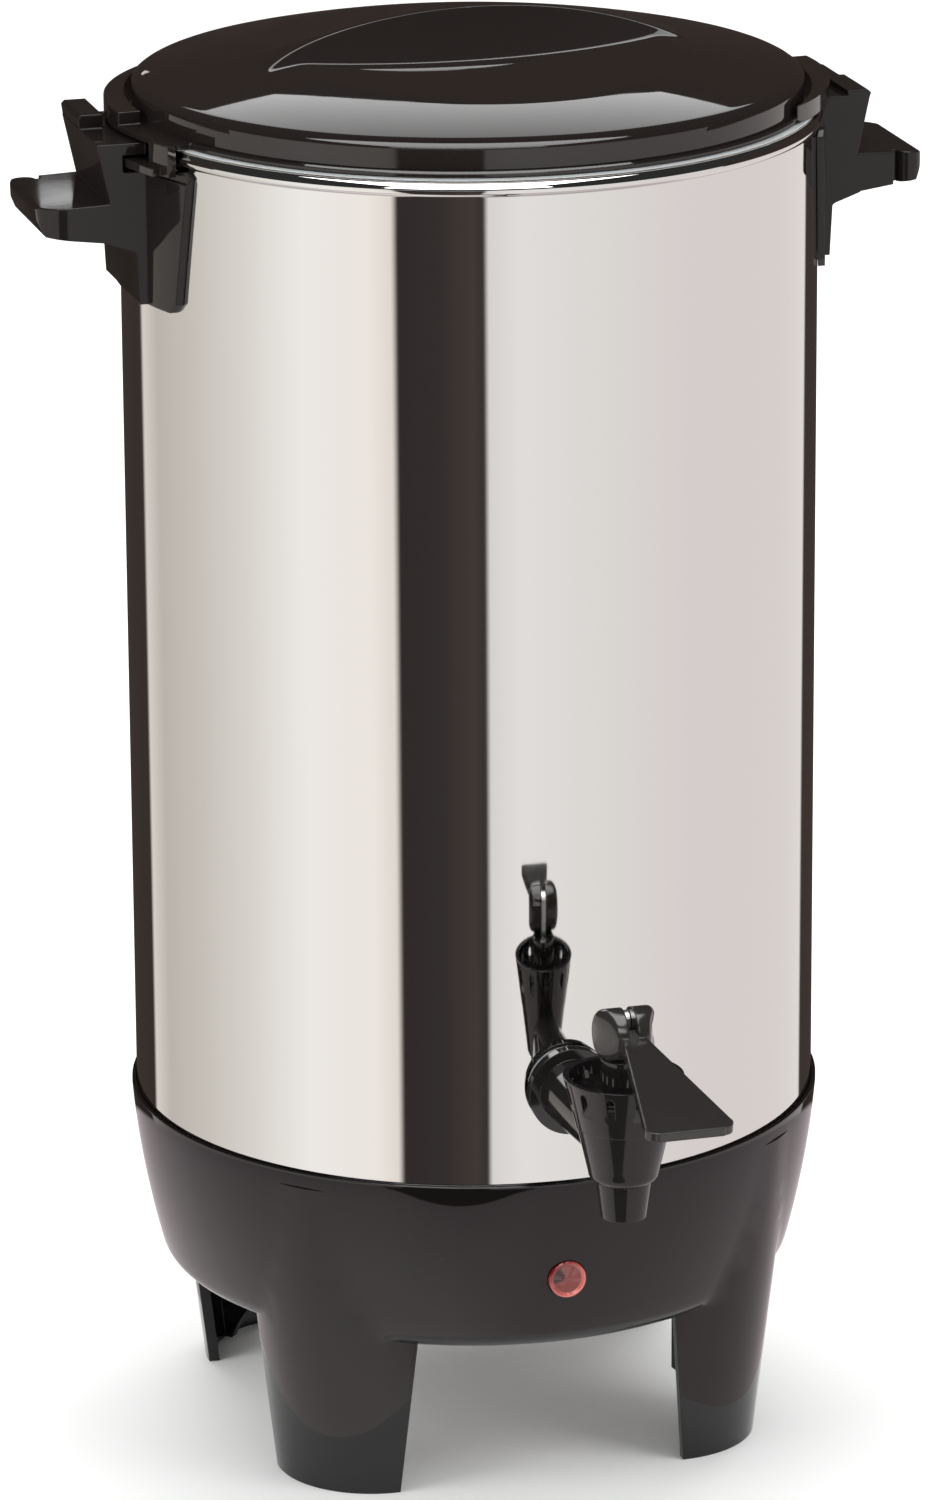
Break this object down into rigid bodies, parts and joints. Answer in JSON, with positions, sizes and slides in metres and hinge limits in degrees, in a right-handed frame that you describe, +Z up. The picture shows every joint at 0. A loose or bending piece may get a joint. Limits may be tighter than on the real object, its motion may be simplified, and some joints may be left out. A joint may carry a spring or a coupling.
{
  "type": "coffee urn",
  "caption": "Tall percolating coffee urn: polished steel tank on a dark legged base, domed turn-and-lift lid, side handles, self-closing tap, inner pump tube and basket.",
  "frame": {"origin": "on the tank's axis, on the table that the four legs stand on", "axes": "+Z up along the tank's axis; the tap points along -Y; the two side handles lie along -X and +X"},
  "size_m": [0.286, 0.3541, 0.4642],
  "materials": {
    "polished_steel": "mirror-polished stainless steel",
    "sheet_steel": "satin stainless sheet",
    "zinc_steel": "zinc-plated",
    "sheath_steel": "heat-darkened sheath",
    "cast_aluminium": "as cast",
    "mica": "wrapped mica",
    "ceramic": "matt",
    "lamp_red": "clear red lens",
    "nickel_pins": "nickel-plated brass",
    "black_plastic": "glossy black phenolic",
    "base_plastic": "glossy charcoal",
    "handle_plastic": "satin black",
    "lid_plastic": "glossy black",
    "silicone": "translucent silicone"
  },
  "bodies": {
    "urn": {"tank_body": "polished_steel", "tank_bottom": "sheet_steel", "base_studs": "zinc_steel", "base_housing": "base_plastic", "bottom_cover": "sheet_steel", "base_nuts": "zinc_steel", "heater_plate": "cast_aluminium", "heating_element": "sheath_steel", "keep_warm_heater": "mica", "thermostat": "ceramic", "thermal_fuse": "zinc_steel", "lamp_lens": "lamp_red", "lamp_body": "ceramic", "power_inlet": "black_plastic", "inlet_pins": "nickel_pins", "inlet_screws": "zinc_steel", "tap_body": "black_plastic", "tap_bonnet": "black_plastic", "tap_washer_outer": "silicone", "tap_washer_inner": "silicone", "tap_nut": "zinc_steel", "handle_left": "handle_plastic", "handle_right": "handle_plastic", "handle_screws": "zinc_steel", "screw_washers": "silicone"},
    "valve": {"valve_stem": "sheet_steel", "seat_cup": "silicone", "lever_pin": "zinc_steel"},
    "lever": {"tap_lever": "black_plastic"},
    "seal": {"lid_seal": "silicone"},
    "lid": {"lid_shell": "lid_plastic"},
    "percolator": {"pump_tube": "sheet_steel", "pump_foot": "sheet_steel", "coffee_basket": "sheet_steel", "basket_cover": "sheet_steel"}
  },
  "joints": [
    {"name": "lid_lift", "type": "slide", "parent": "urn", "child": "seal", "axis": [0, 0, 1], "range_m": [0, 0.16]},
    {"name": "lid_turn", "type": "hinge", "parent": "seal", "child": "lid", "pos_m": [0, 0, 0.433], "axis": [0, 0, 1], "range_deg": [0, 24]},
    {"name": "percolator_lift", "type": "slide", "parent": "urn", "child": "percolator", "axis": [0, 0, 1], "range_m": [0, 0.016]},
    {"name": "stem_lift", "type": "slide", "parent": "urn", "child": "valve", "axis": [0, 0, 1], "range_m": [0, 0.0015], "deforming": ["seat_cup"]},
    {"name": "lever_press", "type": "hinge", "parent": "valve", "child": "lever", "pos_m": [0, -0.169, 0.1824], "axis": [1, 0, 0], "range_deg": [0, 24], "stiffness_Nm_per_rad": 0.1, "springref_deg": -11.46}
  ],
  "couplings": [
    {"joint": "stem_lift", "follows": "lever_press", "m_per_rad": 0.0034}
  ]
}
